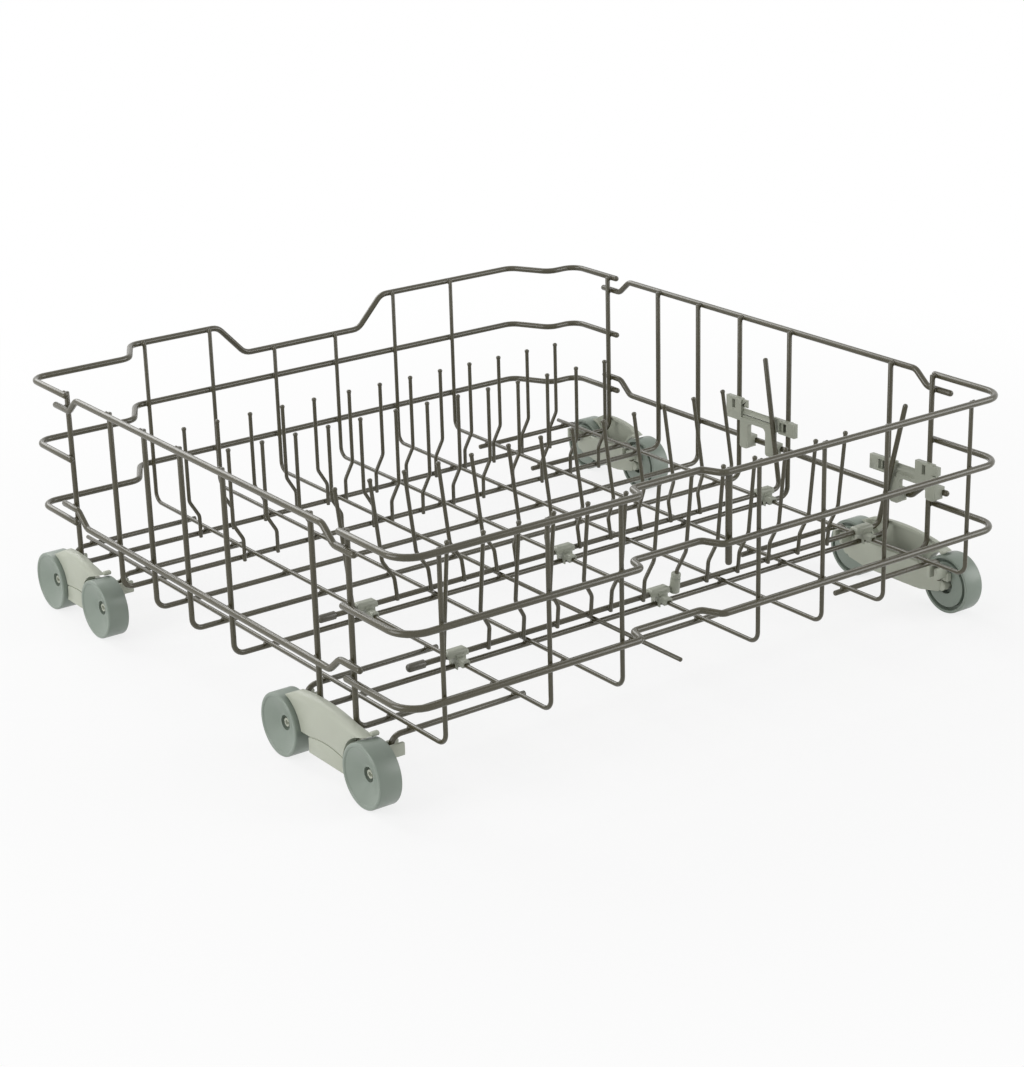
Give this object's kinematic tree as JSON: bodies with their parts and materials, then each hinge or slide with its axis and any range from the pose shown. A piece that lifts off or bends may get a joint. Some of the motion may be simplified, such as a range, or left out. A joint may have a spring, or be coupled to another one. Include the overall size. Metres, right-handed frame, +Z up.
{
  "type": "dishwasher basket",
  "caption": "Coated-wire lower dishwasher basket with plate tines, fold-down tine rows, latch brackets and paired wheels at the corners.",
  "frame": {"origin": "middle of the basket in plan, on the plane the wheels stand on", "axes": "+Z up, -Y towards the front wall with the lowered hand rail, +X towards the right side seen from the front"},
  "size_m": [0.538, 0.5448, 0.1819],
  "materials": {
    "coated_wire": "satin nylon coat",
    "wheel": "fine satin",
    "carrier": "satin",
    "clip": "satin",
    "cap": "satin"
  },
  "bodies": {
    "basket": {"cross_wire_1": "coated_wire", "cross_wire_2": "coated_wire", "cross_wire_3": "coated_wire", "cross_wire_4": "coated_wire", "cross_wire_5": "coated_wire", "cross_wire_6": "coated_wire", "cross_wire_7": "coated_wire", "depth_wire_1": "coated_wire", "depth_wire_2": "coated_wire", "depth_wire_3": "coated_wire", "depth_wire_4": "coated_wire", "depth_wire_5": "coated_wire", "depth_wire_6": "coated_wire", "depth_wire_7": "coated_wire", "depth_wire_8": "coated_wire", "fixed_tines_1": "coated_wire", "fixed_tines_2": "coated_wire", "front_rail_bottom": "coated_wire", "front_rail_middle": "coated_wire", "front_rail_top": "coated_wire", "hook_wires_front_left": "coated_wire", "hook_wires_front_right": "coated_wire", "hook_wires_rear_left": "coated_wire", "hook_wires_rear_right": "coated_wire", "latch_bracket_front": "clip", "latch_bracket_rear": "clip", "pivot_clip_front_left": "clip", "pivot_clip_front_middle": "clip", "pivot_clip_front_right": "clip", "pivot_clip_rear_left": "clip", "pivot_clip_rear_middle": "clip", "pivot_clip_rear_right": "clip", "rear_rail_bottom": "coated_wire", "rear_rail_middle": "coated_wire", "rear_rail_top": "coated_wire", "rear_stub": "coated_wire", "side_rail_bottom_left": "coated_wire", "side_rail_bottom_right": "coated_wire", "side_rail_top_left": "coated_wire", "side_rail_top_right": "coated_wire", "wheel_carrier_front_left": "carrier", "wheel_carrier_front_right": "carrier", "wheel_carrier_rear_left": "carrier", "wheel_carrier_rear_right": "carrier"},
    "front_row": {"fold_wire_front": "coated_wire", "fold_tines_front": "coated_wire", "fold_cap_front": "cap"},
    "rear_row": {"fold_wire_rear": "coated_wire", "fold_tines_rear": "coated_wire", "fold_cap_rear": "cap", "fold_sleeve_rear": "clip"},
    "wheel_front_left_1": {"wheel_front_left_1": "wheel"},
    "wheel_front_left_2": {"wheel_front_left_2": "wheel"},
    "wheel_front_right_1": {"wheel_front_right_1": "wheel"},
    "wheel_front_right_2": {"wheel_front_right_2": "wheel"},
    "wheel_rear_left_1": {"wheel_rear_left_1": "wheel"},
    "wheel_rear_left_2": {"wheel_rear_left_2": "wheel"},
    "wheel_rear_right_1": {"wheel_rear_right_1": "wheel"},
    "wheel_rear_right_2": {"wheel_rear_right_2": "wheel"}
  },
  "joints": [
    {"name": "front_row_fold", "type": "hinge", "parent": "basket", "child": "front_row", "pos_m": [0, 0.046, 0.05242], "axis": [1, 0, 0], "range_deg": [0, 74]},
    {"name": "rear_row_fold", "type": "hinge", "parent": "basket", "child": "rear_row", "pos_m": [0, 0.1585, 0.05242], "axis": [-1, 0, 0], "range_deg": [0, 74]},
    {"name": "wheel_front_left_1_roll", "type": "hinge", "parent": "basket", "child": "wheel_front_left_1", "pos_m": [-0.2605, -0.2175, 0.0225], "axis": [1, 0, 0], "continuous": true},
    {"name": "wheel_front_left_2_roll", "type": "hinge", "parent": "basket", "child": "wheel_front_left_2", "pos_m": [-0.2605, -0.142, 0.0225], "axis": [1, 0, 0], "continuous": true},
    {"name": "wheel_front_right_1_roll", "type": "hinge", "parent": "basket", "child": "wheel_front_right_1", "pos_m": [0.2605, -0.2175, 0.0225], "axis": [1, 0, 0], "continuous": true},
    {"name": "wheel_front_right_2_roll", "type": "hinge", "parent": "basket", "child": "wheel_front_right_2", "pos_m": [0.2605, -0.142, 0.0225], "axis": [1, 0, 0], "continuous": true},
    {"name": "wheel_rear_left_1_roll", "type": "hinge", "parent": "basket", "child": "wheel_rear_left_1", "pos_m": [-0.2605, 0.1235, 0.0225], "axis": [1, 0, 0], "continuous": true},
    {"name": "wheel_rear_left_2_roll", "type": "hinge", "parent": "basket", "child": "wheel_rear_left_2", "pos_m": [-0.2605, 0.2255, 0.0225], "axis": [1, 0, 0], "continuous": true},
    {"name": "wheel_rear_right_1_roll", "type": "hinge", "parent": "basket", "child": "wheel_rear_right_1", "pos_m": [0.2605, 0.1235, 0.0225], "axis": [1, 0, 0], "continuous": true},
    {"name": "wheel_rear_right_2_roll", "type": "hinge", "parent": "basket", "child": "wheel_rear_right_2", "pos_m": [0.2605, 0.2255, 0.0225], "axis": [1, 0, 0], "continuous": true}
  ]
}
